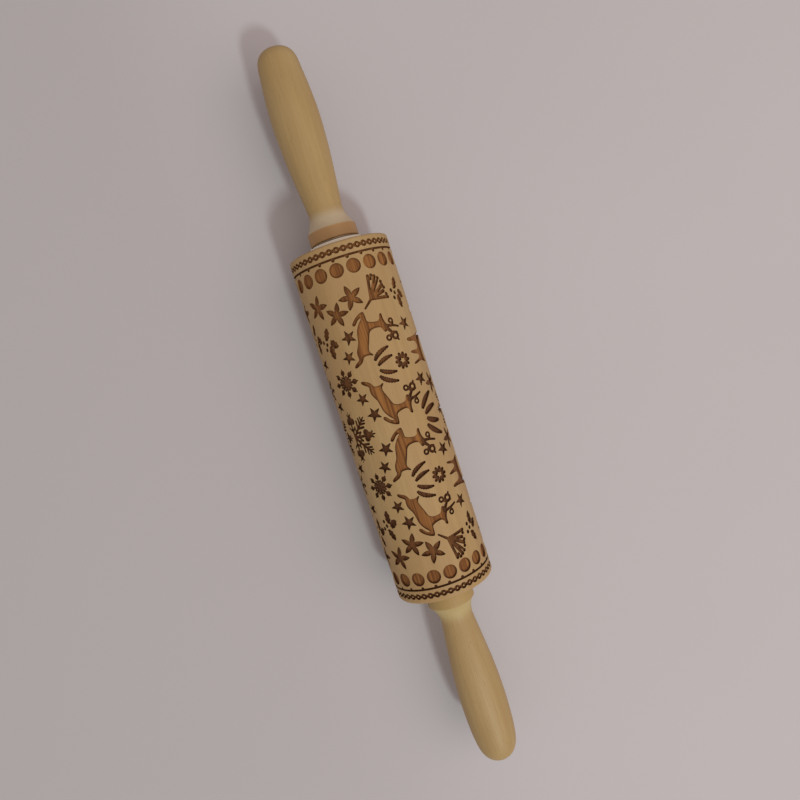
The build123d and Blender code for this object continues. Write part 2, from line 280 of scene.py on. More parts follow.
def branch():
    """Twigs that spread from one stem and end in buds."""
    figure = [stroke((-7.7, -8.0), (-4.3, -4.2), 0.9, 1.4)]
    for tip, foot_width, tip_width in (
        ((-5.1, 5.0), 1.4, 1.7), ((-2.0, 3.4), 1.3, 1.8), ((0.9, 3.6), 1.3, 1.9), ((3.4, 1.8), 1.1, 1.4),
        ((5.6, 1.0), 1.1, 1.7), ((6.3, -2.3), 1.4, 1.6),
    ):
        figure.append(stroke((-4.3, -4.1), tip, foot_width, tip_width))
    buds = ((-3.6, 4.6), (-0.4, 4.3), (2.5, 3.5), (4.4, 2.4), (6.3, -0.5), (4.9, -1.4))
    return figure + [solid(circle(x, u, 0.9, 12)) for x, u in buds]


def sprig():
    """Three leaves with lobed sides and three berries."""
    figure = []
    for length, half, degrees, foot in (
        (7.0, 1.75, 176, (-1.2, -1.0)), (5.6, 1.8, 132, (0.6, -0.4)), (6.6, 1.65, 26, (1.2, -2.6)),
    ):
        points = []
        for side in (-1, 1):
            edge = []
            for number in range(13):
                along = number / 12
                lobe = 1.0 + 0.16 * math.cos(6 * math.pi * along)
                half_width = half * math.sin(math.pi * (0.08 + 0.88 * along)) ** 0.6 * lobe
                edge.append((length * along, side * half_width))
            points += edge if side < 0 else edge[::-1][1:-1]
        figure.append(solid(turned(points, degrees, *foot)))
    return figure + [solid(circle(x, u, 1.0, 14)) for x, u in ((-2.7, -4.2), (-0.4, -2.9), (1.0, -5.1))]


def small_snowflake():
    """Eight short arms with barbs and clubbed ends round a full core."""
    figure = [solid(circle(0.0, 0.0, 2.3, 16))]
    for number in range(8):
        degrees = 45 * number + 90
        pieces = [stroke((0.0, 0.0), (6.9, 0.0), 1.5, 0.7), solid(circle(5.2, 0.0, 1.35, 12))]
        pieces += [stroke((1.8, 0.0), (3.4, side * 1.2), 0.9, 0.7) for side in (-1, 1)]
        figure += [solid(turned(outline, degrees)) for outline, middle in pieces]
    return figure


def great_arm(degrees, clubbed):
    """One arm of a great snowflake: barbs by the core, then a lobed club or a fork."""
    pieces = [stroke((0.0, 0.0), (11.0, 0.0), 1.6, 1.1), stroke((10.4, 0.0), (12.6, 0.0), 1.1, 0.7)]
    for side in (-1, 1):
        pieces.append(stroke((3.0, 0.0), (5.0, side * 2.2), 1.2, 1.0))
        pieces.append(stroke((10.2, 0.0), (11.6, side * 1.5), 1.1, 0.8))
        if clubbed:
            pieces.append(solid(circle(8.0, side * 1.5, 1.7, 14)))
        else:
            pieces.append(stroke((5.8, 0.0), (8.4, side * 2.5), 1.4, 1.2))
            pieces.append(stroke((8.2, 0.0), (10.4, side * 2.1), 1.3, 1.0))
    if clubbed:
        pieces.append(solid(circle(9.8, 0.0, 1.6, 14)))
    return [solid(turned(outline, degrees)) for outline, middle in pieces]


def great_arms(count):
    """Arms of a great snowflake, an eighth of a turn apart, clubbed and forked in turn."""
    return [pair for number in range(count) for pair in great_arm(45 * number, number % 2 == 0)]


def great_snowflake():
    """Large snowflake of eight arms round a core."""
    return [solid(circle(0.0, 0.0, 2.2, 14))] + great_arms(8)


def half_snowflake():
    """Upper half of a great snowflake on a short foot."""
    foot = [(-1.9, -0.6), (1.9, -0.6), (1.6, 1.4), (0.0, 2.0), (-1.6, 1.4)]
    return [solid(foot)] + great_arms(5)


# Places of the figures

def half_band():
    """Figures of one band's right half with their places, grouped by how strongly they are burnt."""
    deer = [
        (mirrored(leaping_deer()), 12.4, 0.3), (leaping_deer(), 43.7, 0.0),
        (standing_deer(), 31.0, 21.4),
    ]
    stars_and_branch = [
        (petal_star(6.2, 184), 62.6, 0.2), (petal_star(6.1, 0), 57.0, -8.8),
        (petal_star(6.4, 0), 63.0, -18.4), (petal_star(5.9, 180), 14.3, 31.0),
        (petal_star(6.1, 0), 63.3, 46.2), (petal_star(5.9, 180), 50.6, 40.0),
        (branch(), 63.5, 13.0),
    ]
    fine_figures = [
        (daisy(), 28.5, 15.0),
        (mirrored(leaping_antlers()), 12.4, 0.3), (leaping_antlers(), 43.7, 0.0),
        (standing_antlers(), 31.0, 21.4),
        (small_star(3.9), 45.8, -6.7), (small_star(3.5), 37.1, -9.7),
        (small_star(3.4), 16.9, -9.7), (small_star(3.8), 8.6, -6.3),
        (small_star(3.9), 17.8, 22.5), (small_star(3.9), 44.9, 23.3),
        (small_star(3.6), 37.3, 50.5), (small_star(3.5), 15.9, 51.8), (small_star(3.5), 64.3, 37.0),
        (bent_leaf((0.9, 0.0), (3.6, 3.2), (4.0, 8.9), 2.9), 0.0, 18.2),
        (bent_leaf((3.8, 0.0), (8.2, 2.6), (10.6, 8.9), 3.0), 0.0, 17.4),
        (spread_leaves(), 28.5, 1.8), (mirrored(spread_leaves()), 28.5, 1.8),
        (sprig(), 46.3, -17.0), (sprig(), 60.0, 26.4), (sprig(), 50.4, 51.4),
        (small_snowflake(), 26.0, -16.0), (small_snowflake(), 24.6, 44.6),
    ]
    return (deer_burn, deer), (star_burn, stars_and_branch), (fine_burn, fine_figures)


def drift(x):
    """How far the figures at a place lie off the barrel's middle."""
    return middle_drift - drift_lost * (x / outermost_place) ** 2


def shifted(figure, x, u):
    """Figure moved to its place."""
    moved = []
    for outline, middle in figure:
        moved.append((turned(outline, 0, x, u), middle and turned(middle, 0, x, u)))
    return moved


def mirrored(figure):
    """Figure seen in a mirror across its middle line."""
    def flip(points):
        return [(-x, u) for x, u in points[::-1]]
    return [(flip(outline), middle and flip(middle)) for outline, middle in figure]


def border(side, first_dot, first_tick, first_bead):
    """Dots, ticks, bead chain and turned line of one end, all round the barrel."""
    dots = [
        solid(circle(side * dot_place, first_dot + girth / dot_count * number, dot_radius, 28))
        for number in range(dot_count)
    ]
    ticks = [
        solid(circle(side * tick_place, first_tick + girth / tick_count * number, tick_radius, 10))
        for number in range(tick_count)
    ]
    chain = []
    for number in range(bead_count):
        place = first_bead + girth / bead_count * number
        chain.append(curl(side * bead_place, place, bead_radius, bead_eye_radius))
        between = place + girth / bead_count / 2
        corners = ((-half_link_length, 0), (0, -half_link_width), (half_link_length, 0), (0, half_link_width))
        chain.append(solid([(side * bead_place + x, between + u) for x, u in corners]))
    low, high = sorted((side * (half_barrel - line_far_side), side * (half_barrel - line_near_side)))
    line = [solid([(low, -1.0), (high, -1.0), (high, girth + 1.0), (low, girth + 1.0)])]
    return (dot_burn, dots), (tick_burn, ticks), (bead_burn, chain), (line_burn, line)


def repeated(figure, turns, pitch, start=0.0):
    """Figure laid again and again round the barrel."""
    return [pair for turn in turns for pair in shifted(figure, 0.0, turn * pitch + start)]


def reaches_field(pair):
    """True for a figure that lies at least partly on the one turn that is meshed."""
    around = [u for x, u in pair[0]]
    return max(around) > 0 and min(around) < girth


def whole_ornament():
    """Outlines of every figure on the barrel, grouped by how strongly they are burnt."""
    groups = []
    for burn, places in half_band():
        one_band = []
        for figure, x, u in places:
            one_band += shifted(figure, x + drift(x), u) + shifted(mirrored(figure), -x + drift(x), u)
        if burn == fine_burn:
            one_band += shifted(half_snowflake(), drift(0.0), half_snowflake_place)
            one_band += shifted(great_snowflake(), drift(0.0), great_snowflake_place)
        groups.append((burn, repeated(one_band, range(-1, 3), band, ornament_turn)))
    for side, starts in border_starts:
        for burn, figures in border(side, *starts):
            groups.append((burn, repeated(figures, range(-1, 2), girth)))
    return [(burn, [pair for pair in pairs if reaches_field(pair)]) for burn, pairs in groups]


# Carved field as a flat triangle mesh

def stepped(outline):
    """Closed outline with no edge longer than the outline step."""
    fine = []
    for here, after in zip(outline, outline[1:] + outline[:1]):
        parts = max(1, math.ceil(math.hypot(after[0] - here[0], after[1] - here[1]) / outline_step))
        for number in range(parts):
            share = number / parts
            fine.append((here[0] + share * (after[0] - here[0]), here[1] + share * (after[1] - here[1])))
    return fine


def point_tree(points):
    """Search tree of points on the unrolled barrel."""
    tree = KDTree(len(points))
    for number, (x, u) in enumerate(points):
        tree.insert((x, u, 0.0), number)
    tree.balance()
    return tree


def inside(outline, x, u):
    """True for each point that lies inside a closed outline."""
    ax = numpy.array([point[0] for point in outline])
    au = numpy.array([point[1] for point in outline])
    bx, bu = numpy.roll(ax, -1), numpy.roll(au, -1)
    crosses = (au[:, None] > u[None, :]) != (bu[:, None] > u[None, :])
    slope = (bx - ax) / numpy.where(bu == au, 1e-12, bu - au)
    hits = crosses & (x[None, :] < ax[:, None] + (u[None, :] - au[:, None]) * slope[:, None])
    return hits.sum(axis=0) % 2 == 1


def carved(pairs, x, u):
    """True for each point that some figure carves away."""
    found = numpy.zeros(len(x), bool)
    for outline, middle in pairs:
        near = numpy.nonzero(
            (x > min(p[0] for p in outline)) & (x < max(p[0] for p in outline))
            & (u > min(p[1] for p in outline)) & (u < max(p[1] for p in outline))
        )[0]
        if len(near) == 0:
            continue
        hit = inside(outline, x[near], u[near])
        if middle:
            hit &= ~inside(middle, x[near], u[near])
        found[near] |= hit
    return found


def drawn_lines(pairs, limit):
    """Points and edges that the triangles keep to: the field's four sides and every outline."""
    coords, edges = [], []

    def add_chain(points, closed):
        start = len(coords)
        coords.extend(points)
        count = len(points)
        edges.extend((start + k, start + (k + 1) % count) for k in range(count if closed else count - 1))

    row = girth / rows_around
    for side in (-1, 1):
        add_chain([(side * limit, row * number) for number in range(rows_around + 1)], False)
    seam_count = 2 * round(limit / land_step)
    for u in (0.0, girth):
        add_chain([(-limit + 2 * limit * number / seam_count, u) for number in range(seam_count + 1)], False)
    for outline, middle in pairs:
        for points in (outline, middle):
            if points:
                add_chain(stepped(points), True)
    return coords, edges


def land_grid(limit):
    """Wide staggered grid for the untouched wood."""
    columns = int(2 * limit / land_step)
    row = girth / rows_around
    xs, us = [], []
    for number in range(1, rows_around):
        shift = 0.5 * (number % 2)
        xs += [-limit + 2 * limit * (k + shift) / columns for k in range(1, columns - 1)]
        us += [row * number] * (columns - 2)
    return numpy.array(xs), numpy.array(us)


def floor_grid(limit):
    """Close grid for the carved floors, so that their shading is soft."""
    grid_x, grid_u = numpy.meshgrid(
        numpy.linspace(-limit + floor_step, limit - floor_step, int(2 * limit / floor_step)),
        numpy.linspace(floor_step, girth - floor_step, int(girth / floor_step)),
    )
    return grid_x.ravel(), grid_u.ravel()


def flat_field():
    """Triangles of the unrolled barrel: points, triangles, which are carved, and how burnt they are."""
    groups = whole_ornament()
    pairs = [pair for burn, group in groups for pair in group]
    limit = half_barrel - edge_round
    coords, edges = drawn_lines(pairs, limit)
    drawn = point_tree(coords)
    for (xs, us), on_floor in ((land_grid(limit), False), (floor_grid(limit), True)):
        wanted = carved(pairs, xs, us) == on_floor
        for x, u in zip(xs[wanted], us[wanted]):
            if drawn.find((x, u, 0.0))[2] > clear_of_outline:
                coords.append((float(x), float(u)))
    made = delaunay_2d_cdt([Vector(point) for point in coords], edges, [], 0, 1e-5, False)
    points = numpy.array([tuple(point) for point in made[0]])
    triangles = numpy.array([face for face in made[2] if len(face) == 3])
    middle = points[triangles].mean(axis=1)
    in_field = (middle[:, 1] > 0) & (middle[:, 1] < girth) & (abs(middle[:, 0]) < limit)
    triangles, middle = triangles[in_field], middle[in_field]
    sunk = numpy.zeros(len(middle), bool)
    burnt = numpy.zeros(len(middle))
    for burn, group in groups:
        hit = carved(group, middle[:, 0], middle[:, 1])
        sunk |= hit
        burnt[hit] = numpy.maximum(burnt[hit], burn)
    return points, triangles, sunk, burnt


# Meshes

def mesh_piece(name, verts, faces, edges=()):
    """New object at the origin with its place in its mesh."""
    mesh = bpy.data.meshes.new(name)
    mesh.from_pydata([tuple(v) for v in verts], list(edges), [tuple(int(i) for i in f) for f in faces])
    piece = bpy.data.objects.new(name, mesh)
    bpy.context.scene.collection.objects.link(piece)
    return piece


def only(piece):
    """Selects one object alone and makes it active."""
    bpy.ops.object.select_all(action="DESELECT")
    piece.select_set(True)
    bpy.context.view_layer.objects.active = piece


def spun(name, profile, closed, steps=rows_around):
    """Turned piece: its profile, as (x, radius) in millimetres, is spun once about the pin's axis."""
    verts = [(x * MM, 0.0, axis_height + radius * MM) for x, radius in profile]
    links = [(k, k + 1) for k in range(len(verts) - 1)] + ([(len(verts) - 1, 0)] if closed else [])
    piece = mesh_piece(name, verts, [], links)
    only(piece)
    bpy.ops.object.mode_set(mode="EDIT")
    bpy.ops.mesh.select_all(action="SELECT")
    middle = (0.0, 0.0, axis_height)
    bpy.ops.mesh.spin(steps=steps, angle=2 * math.pi, center=middle, axis=(1.0, 0.0, 0.0))
    bpy.ops.mesh.select_all(action="SELECT")
    bpy.ops.mesh.remove_doubles(threshold=same_point * MM)
    bpy.ops.mesh.normals_make_consistent(inside=False)
    bpy.ops.object.mode_set(mode="OBJECT")
    return piece


def smooth(piece, degrees=35):
    """Smooth shading with sharp edges kept."""
    only(piece)
    bpy.ops.object.shade_smooth_by_angle(angle=math.radians(degrees))


def arc(x, radius, size, start, end, parts=5):
    """Profile points of a rounded edge about a centre, from one angle to another."""
    points = []
    for number in range(parts + 1):
        angle = math.radians(start + (end - start) * number / parts)
        points.append((x + size * math.cos(angle), radius + size * math.sin(angle)))
    return points


def sides_of(triangles):
    """Each triangle's three sides, as pairs of points in order."""
    for a, b, c in triangles:
        yield from ((a, b), (b, c), (c, a))


def wall_triangles(land, sunk_triangles, count):
    """Walls where the land meets a sunk floor, whose points come count places after the land's."""
    floor_sides = set(sides_of(sunk_triangles))
    walls = []
    for start, end in sides_of(land):
        if (end, start) in floor_sides:
            walls.append((end, start, end + count))
            walls.append((end + count, start, start + count))
    return walls


def set_values(piece, name, values):
    """Number on each point of a piece, for its material to read."""
    made = piece.data.attributes.new(name, "FLOAT", "POINT")
    made.data.foreach_set("value", values.astype(numpy.float32))


def barrel_ends():
    """Rounded rims, end faces, bush seats and bore of the barrel, as one open shell."""
    rim = arc(half_barrel - edge_round, barrel_radius - edge_round, edge_round, 90, 0)
    seat_end = half_barrel - seat_depth
    right = rim + [(half_barrel, seat_radius), (seat_end, seat_radius), (seat_end, barrel_bore_radius)]
    left = [(-x, radius) for x, radius in right[::-1]]
    return spun("barrel_ends", right + left, False)


def carved_barrel():
    """Barrel with its ornament sunk, its rims rounded and its seats for the bushes."""
    points, triangles, sunk, burnt = flat_field()
    count = len(points)
    angle = points[:, 1] / barrel_radius

    def wrapped(radius):
        return numpy.column_stack((
            points[:, 0] * MM, radius * MM * numpy.sin(angle), axis_height + radius * MM * numpy.cos(angle),
        ))

    verts = numpy.vstack((wrapped(barrel_radius), wrapped(barrel_radius - carving_depth)))
    land, floor = triangles[~sunk], triangles[sunk] + count
    walls = wall_triangles(land, triangles[sunk], count)
    shore = sorted({end - count for wall in walls for end in wall if end >= count})
    near = point_tree([points[index] for index in shore])
    from_wall = numpy.zeros(2 * count)
    for index in numpy.unique(triangles[sunk]):
        from_wall[index + count] = near.find((*points[index], 0.0))[2]
    char = numpy.zeros(2 * count)
    for layer in (0, count):
        numpy.maximum.at(char, triangles[sunk].ravel() + layer, numpy.repeat(burnt[sunk], 3))
    barrel = mesh_piece("barrel_carved", verts, [*land, *floor, *walls])
    set_values(barrel, "carved", numpy.repeat((0.0, 1.0), count))
    set_values(barrel, "from_wall", from_wall)
    set_values(barrel, "burnt", char)
    shell = barrel_ends()
    only(barrel)
    shell.select_set(True)
    bpy.ops.object.join()
    bpy.ops.object.mode_set(mode="EDIT")
    bpy.ops.mesh.select_all(action="SELECT")
    bpy.ops.mesh.delete_loose()
    bpy.ops.mesh.select_all(action="SELECT")
    bpy.ops.mesh.remove_doubles(threshold=same_point * MM)
    bpy.ops.mesh.normals_make_consistent(inside=False)
    bpy.ops.object.mode_set(mode="OBJECT")
    smooth(barrel)
    return barrel


# Materials

def rgb(red, green, blue):
    """Display colour of 0 to 255 as a linear colour."""
    def linear(value):
        value /= 255
        return value / 12.92 if value <= 0.04045 else ((value + 0.055) / 1.055) ** 2.4
    return (linear(red), linear(green), linear(blue), 1.0)


def new_group(name, inputs, outputs):
    """Empty shader node group with its sockets and its two ends."""
    group = bpy.data.node_groups.new(name, "ShaderNodeTree")
    for label, kind, default in inputs:
        socket = group.interface.new_socket(name=label, in_out="INPUT", socket_type=kind)
        if default is not None:
            socket.default_value = default
    for label, kind in outputs:
        group.interface.new_socket(name=label, in_out="OUTPUT", socket_type=kind)
    return group, group.nodes.new("NodeGroupInput"), group.nodes.new("NodeGroupOutput")


def node(tree, kind, links=(), **settings):
    """Node with its settings, and its inputs set to values or linked to sockets."""
    made = tree.nodes.new(kind)
    for key, value in settings.items():
        setattr(made, key, value)
    for key, value in dict(links).items():
        if isinstance(value, bpy.types.NodeSocket):
            tree.links.new(value, made.inputs[key])
        else:
            made.inputs[key].default_value = value
    return made


def mixed(tree, share, first, second):
    """Colour mix of two colours by a share."""
    made = tree.nodes.new("ShaderNodeMix")
    made.data_type = "RGBA"
    for place, value in ((0, share), (6, first), (7, second)):
        if isinstance(value, bpy.types.NodeSocket):
            tree.links.new(value, made.inputs[place])
        else:
            made.inputs[place].default_value = value
    return made.outputs[2]


def ramped(tree, value, low, high, to_low=0.0, to_high=1.0):
    """Value moved from one range to another, with soft ends."""
    made = node(tree, "ShaderNodeMapRange", {0: value, 1: low, 2: high, 3: to_low, 4: to_high})
    made.interpolation_type = "SMOOTHSTEP"
    return made.outputs[0]


def math_node(tree, operation, first, second=0.0):
    """Sum, product or the like of two values."""
    return node(tree, "ShaderNodeMath", {0: first, 1: second}, operation=operation).outputs[0]


def times(tree, first, second):
    """Product of two values."""
    return math_node(tree, "MULTIPLY", first, second)


def object_place(tree):
    """Place on the piece, in metres along X, Y and Z."""
    return node(tree, "ShaderNodeTexCoord").outputs["Object"]


def noise(tree, vector, scale, detail, roughness=0.5, distortion=0.0):
    """Noise value at a vector."""
    settings = {"Vector": vector, "Scale": scale, "Detail": detail, "Roughness": roughness}
    return node(tree, "ShaderNodeTexNoise", {**settings, "Distortion": distortion}).outputs[0]


def value_on_points(tree, name):
    """Number that the mesh holds on its points."""
    return node(tree, "ShaderNodeAttribute", attribute_name=name).outputs["Fac"]


def build_wood_grain():
    """Beech grain along X: long soft streaks, fine lines, short flecks and broad patches."""
    group, start, end = new_group(
        "wood_grain",
        [("Vector", "NodeSocketVector", None), ("Seed", "NodeSocketFloat", 0.0)],
        [("Streak", "NodeSocketFloat"), ("Line", "NodeSocketFloat"), ("Fleck", "NodeSocketFloat"),
         ("Patch", "NodeSocketFloat"), ("Height", "NodeSocketFloat")],
    )
    place = node(group, "ShaderNodeCombineXYZ", {0: start.outputs["Seed"], 1: start.outputs["Seed"], 2: 0.0})
    moved = node(group, "ShaderNodeVectorMath", {0: start.outputs["Vector"], 1: place.outputs[0]}).outputs[0]

    def fibres(scale, detail, roughness=0.5, distortion=0.0):
        """Noise drawn out along X."""
        stretched = node(group, "ShaderNodeMapping", {"Vector": moved, "Scale": scale}).outputs[0]
        return noise(group, stretched, 1.0, detail, roughness, distortion)

    values = {
        "Streak": ramped(group, fibres((9.0, 210.0, 210.0), 3.0, 0.55, 0.3), 0.30, 0.70),
        "Line": ramped(group, fibres((22.0, 1100.0, 1100.0), 2.0), 0.35, 0.68),
        "Fleck": ramped(group, fibres((260.0, 2600.0, 2600.0), 1.0), 0.66, 0.76),
        "Patch": ramped(group, fibres((14.0, 34.0, 34.0), 2.0), 0.32, 0.68),
    }
    line_height, streak_height = times(group, values["Line"], 0.6), times(group, values["Streak"], 0.4)
    values["Height"] = math_node(group, "ADD", line_height, streak_height)
    for label, value in values.items():
        group.links.new(value, end.inputs[label])
    return group


wood_grain = build_wood_grain()


def new_material(name, roughness, specular=0.5):
    """Material with a Principled shader whose even values are set on the shader itself."""
    material = bpy.data.materials.new(name)
    material.use_nodes = True
    shader = material.node_tree.nodes["Principled BSDF"]
    shader.inputs["Roughness"].default_value = roughness
    shader.inputs["Specular IOR Level"].default_value = specular
    return material, material.node_tree, shader


def grained(tree, seed):
    """The grain group on object coordinates."""
    made = node(tree, "ShaderNodeGroup", node_tree=wood_grain)
    tree.links.new(object_place(tree), made.inputs["Vector"])
    made.inputs["Seed"].default_value = seed
    return made


def bumped(tree, shader, height, distance):
    """Bump from a height, in metres."""
    bump = node(tree, "ShaderNodeBump", {"Height": height, "Distance": distance})
    tree.links.new(bump.outputs[0], shader.inputs["Normal"])


def bare_wood(tree, grain, pale, warm, line_colour, fleck_colour):
    """Colour of bare sanded beech."""
    colour = mixed(tree, grain.outputs["Patch"], pale, warm)
    colour = mixed(tree, times(tree, grain.outputs["Streak"], 0.45), colour, line_colour)
    colour = mixed(tree, times(tree, grain.outputs["Line"], 0.22), colour, line_colour)
    return mixed(tree, times(tree, grain.outputs["Fleck"], 0.35), colour, fleck_colour)


def handle_wood(node_name, seed, collar_tone_and_shade, flare_sheen_and_grain):
    """Turned beech of a handle, with its collar tinted darker and its flare paler: the left collar partly by
    painted warm shade, each flare partly by a painted sheen and partly as cut across the grain.
    """
    flare_start = min(abs(corner.x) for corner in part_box(node_name)) + collar_length * MM
    collar_fade, flare_kept, flare_gone = 0.0004, 0.004, 0.010
    material, tree, shader = new_material(node_name + "_beech", 0.52, 0.35)
    grain = grained(tree, seed)
    place = node(tree, "ShaderNodeSeparateXYZ", {0: object_place(tree)})
    along = math_node(tree, "ABSOLUTE", place.outputs["X"])
    begun = ramped(tree, along, flare_start - collar_fade, flare_start + collar_fade)
    ended = ramped(tree, along, flare_start + flare_kept, flare_start + flare_gone, 0.75, 0.0)
    pale, warm = rgb(178, 150, 103), rgb(171, 141, 92)
    colour = bare_wood(tree, grain, pale, warm, rgb(158, 126, 80), rgb(124, 92, 56))
    # Collar tint: on the left handle partly painted warm shade where the barrel's shadow falls, on the right
    # the wood's own tone
    colour = mixed(tree, ramped(tree, begun, 0.0, 1.0, 0.5, 0.0), colour, collar_tone_and_shade)
    # Paler flare: partly a painted sheen of the pale floor, partly grain cut across
    colour = mixed(tree, times(tree, begun, ended), colour, flare_sheen_and_grain)
    tree.links.new(colour, shader.inputs["Base Color"])
    bumped(tree, shader, grain.outputs["Height"], 0.00006)
    return material


def engraved_wood():
    """Beech of the barrel: pale where untouched, toasted where sunk, darker along the pocket walls with char
    and painted shade, and burnt in the fine figures.
    """
    # The burn, and the painted shade along the pocket walls, are weaker towards the left end, so the figures
    # are lighter there
    material, tree, shader = new_material("engraved_beech", 0.6, 0.3)
    grain = grained(tree, 0.37)
    line, streak = grain.outputs["Line"], grain.outputs["Streak"]
    sunk = ramped(tree, value_on_points(tree, "carved"), 0.03, 0.30)
    # Near the pocket walls the floors darken: partly char, partly painted shade of the hollow
    past_wall_char_and_shade = ramped(tree, value_on_points(tree, "from_wall"), 0.1, 0.8)
    place = node(tree, "ShaderNodeSeparateXYZ", {0: object_place(tree)})
    bite = ramped(tree, place.outputs["X"], -0.080, 0.015)
    burnt = times(tree, value_on_points(tree, "burnt"), ramped(tree, bite, 0.0, 1.0, 0.45, 1.0))
    browned = ramped(tree, place.outputs["X"], -0.085, 0.085, 0.35, 0.75)
    pale, warm = rgb(178, 148, 101), rgb(172, 138, 92)
    land = bare_wood(tree, grain, pale, warm, rgb(158, 124, 80), rgb(124, 88, 54))
    toasted = mixed(tree, line, rgb(157, 105, 53), rgb(105, 63, 29))
    toasted = mixed(tree, times(tree, streak, browned), toasted, rgb(104, 61, 28))
    # Walls and the floor beside them: darker, partly char and partly painted shade of the pocket's hollow
    walls = mixed(tree, bite, rgb(118, 74, 37), rgb(92, 54, 25))
    toasted = mixed(tree, past_wall_char_and_shade, walls, toasted)
    charred = mixed(tree, line, rgb(90, 52, 24), rgb(66, 38, 16))
    toasted = mixed(tree, burnt, toasted, charred)
    tree.links.new(mixed(tree, sunk, land, toasted), shader.inputs["Base Color"])
    tree.links.new(ramped(tree, sunk, 0.0, 1.0, 0.58, 0.88), shader.inputs["Roughness"])
    height = times(tree, grain.outputs["Height"], ramped(tree, sunk, 0.0, 1.0, 0.25, 1.0))
    bumped(tree, shader, height, 0.00022)
    return material


def fine_plastic():
    """White moulded nylon with a faint uneven skin."""
    material, tree, shader = new_material("white_nylon", 0.42, 0.5)
    place = object_place(tree)
    cloud = ramped(tree, noise(tree, place, 60.0, 2.0), 0.35, 0.65)
    colour = mixed(tree, cloud, rgb(240, 229, 213), rgb(228, 216, 198))
    tree.links.new(colour, shader.inputs["Base Color"])
    bumped(tree, shader, noise(tree, place, 900.0, 3.0), 0.00002)
    return material


def drawn_steel(name, roughness, brightness, tint=(1.0, 1.0, 1.0)):
    """Steel with fine drawing lines along the pin and slight stains."""
    material, tree, shader = new_material(name, roughness)
    shader.inputs["Metallic"].default_value = 1.0
    place = object_place(tree)
    stretched = node(tree, "ShaderNodeMapping", {"Vector": place, "Scale": (60.0, 4000.0, 4000.0)})
    lines = noise(tree, stretched.outputs[0], 1.0, 2.0)
    bright = rgb(*(brightness * part for part in tint))
    dull = rgb(*(0.81 * brightness * part for part in tint))
    stained = mixed(tree, noise(tree, place, 140.0, 3.0), bright, dull)
    tree.links.new(stained, shader.inputs["Base Color"])
    drawn = ramped(tree, lines, 0.3, 0.7, roughness - 0.08, roughness + 0.1)
    tree.links.new(drawn, shader.inputs["Roughness"])
    bumped(tree, shader, lines, 0.00001)
    return material


def pale_floor():
    """Plain pale floor with painted shade: greyer towards -Y, as if less light fell there."""
    material, tree, shader = new_material("pale_floor", 0.9, 0.1)
    place = object_place(tree)
    across = node(tree, "ShaderNodeSeparateXYZ", {0: place}).outputs["Y"]
    # Painted shade: the floor colour turns greyer towards -Y, standing in for light that falls off
    colour = mixed(tree, ramped(tree, across, -0.10, 0.03), rgb(182, 175, 176), rgb(192, 185, 186))
    cloud = ramped(tree, noise(tree, place, 3.0, 2.0), 0.3, 0.7, 0.0, 0.4)
    colour = mixed(tree, cloud, colour, rgb(184, 177, 178))
    tree.links.new(colour, shader.inputs["Base Color"])
    return material


# Pieces

def finished(piece, body, node_name, material):
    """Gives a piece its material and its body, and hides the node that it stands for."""
    piece.data.materials.clear()
    piece.data.materials.append(material)
    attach(piece, body)
    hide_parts(node_name)


def measured(node_name):
    """Side of the pin that a piece is on, how far its near and far ends lie, and its radius."""
    low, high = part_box(node_name)
    near, far = sorted((abs(low.x) / MM, abs(high.x) / MM))
    return (1 if high.x > 0 else -1), near, far, (high.z - low.z) / 2 / MM


def through(points):
    """Smooth line through a profile's points, in a few parts from each to the next."""
    ends = [points[0], *points, points[-1]]
    line = []
    for knots in zip(ends, ends[1:], ends[2:], ends[3:]):
        for number in range(curve_parts):
            t = number / curve_parts
            line.append(tuple(
                0.5 * (2 * q + (r - p) * t + (2 * p - 5 * q + 4 * r - s) * t * t
                       + (3 * q - p - 3 * r + s) * t ** 3)
                for p, q, r, s in zip(*knots)
            ))
    return line + [points[-1]]


def domed(line, tip, length, bluntness):
    """Nose that closes a grip's line at its tip, as a quarter of a superellipse."""
    line_x, line_radius = zip(*line)
    steps = 12
    nose = []
    for number in range(1, steps):
        angle = math.pi / 2 * number / steps
        x = tip - length * (1 - math.sin(angle) ** (2 / bluntness))
        nose.append((x, float(numpy.interp(x, line_x, line_radius)) * math.cos(angle) ** (2 / bluntness)))
    return [point for point in line if point[0] < tip - length] + nose + [(tip, 0.0)]


def turned_handle(node_name, neck, grip, shares, falls, nose_share, bluntness):
    """Handle with its collar, hollow flare, neck, swelling grip and domed end."""
    side, face, tip, collar = measured(node_name)
    flare_place = face + collar_length
    neck_place = flare_place + flare_length
    run = tip - neck_place
    flare = through([
        (flare_place + flare_length * along, neck + (collar - neck) * drop)
        for along, drop in ((0.0, 1.0), *falls, (1.0, 0.0))
    ])
    # The first point only gives the line its slope at the neck, and is cut off again
    swell = [(neck_place - 3.0, neck + 0.25), (neck_place, neck)]
    swell += [(neck_place + along * run, radius * grip) for along, radius in shares]
    grip_line = domed(through(swell)[curve_parts:], tip, nose_share * run, bluntness)
    bore_end = face + handle_bore_depth
    edge = collar_edge_round
    profile = [(bore_end, 0.0), (bore_end, axle_radius), (face, axle_radius), (face, collar - edge)]
    profile += arc(face + edge, collar - edge, edge, 180, 90, 4)[1:]
    profile += [(flare_place - collar_lip, collar)] + flare + grip_line[1:]
    piece = spun(node_name + "_turned", [(side * x, radius) for x, radius in profile], False, small_steps)
    smooth(piece, degrees=24)
    return piece


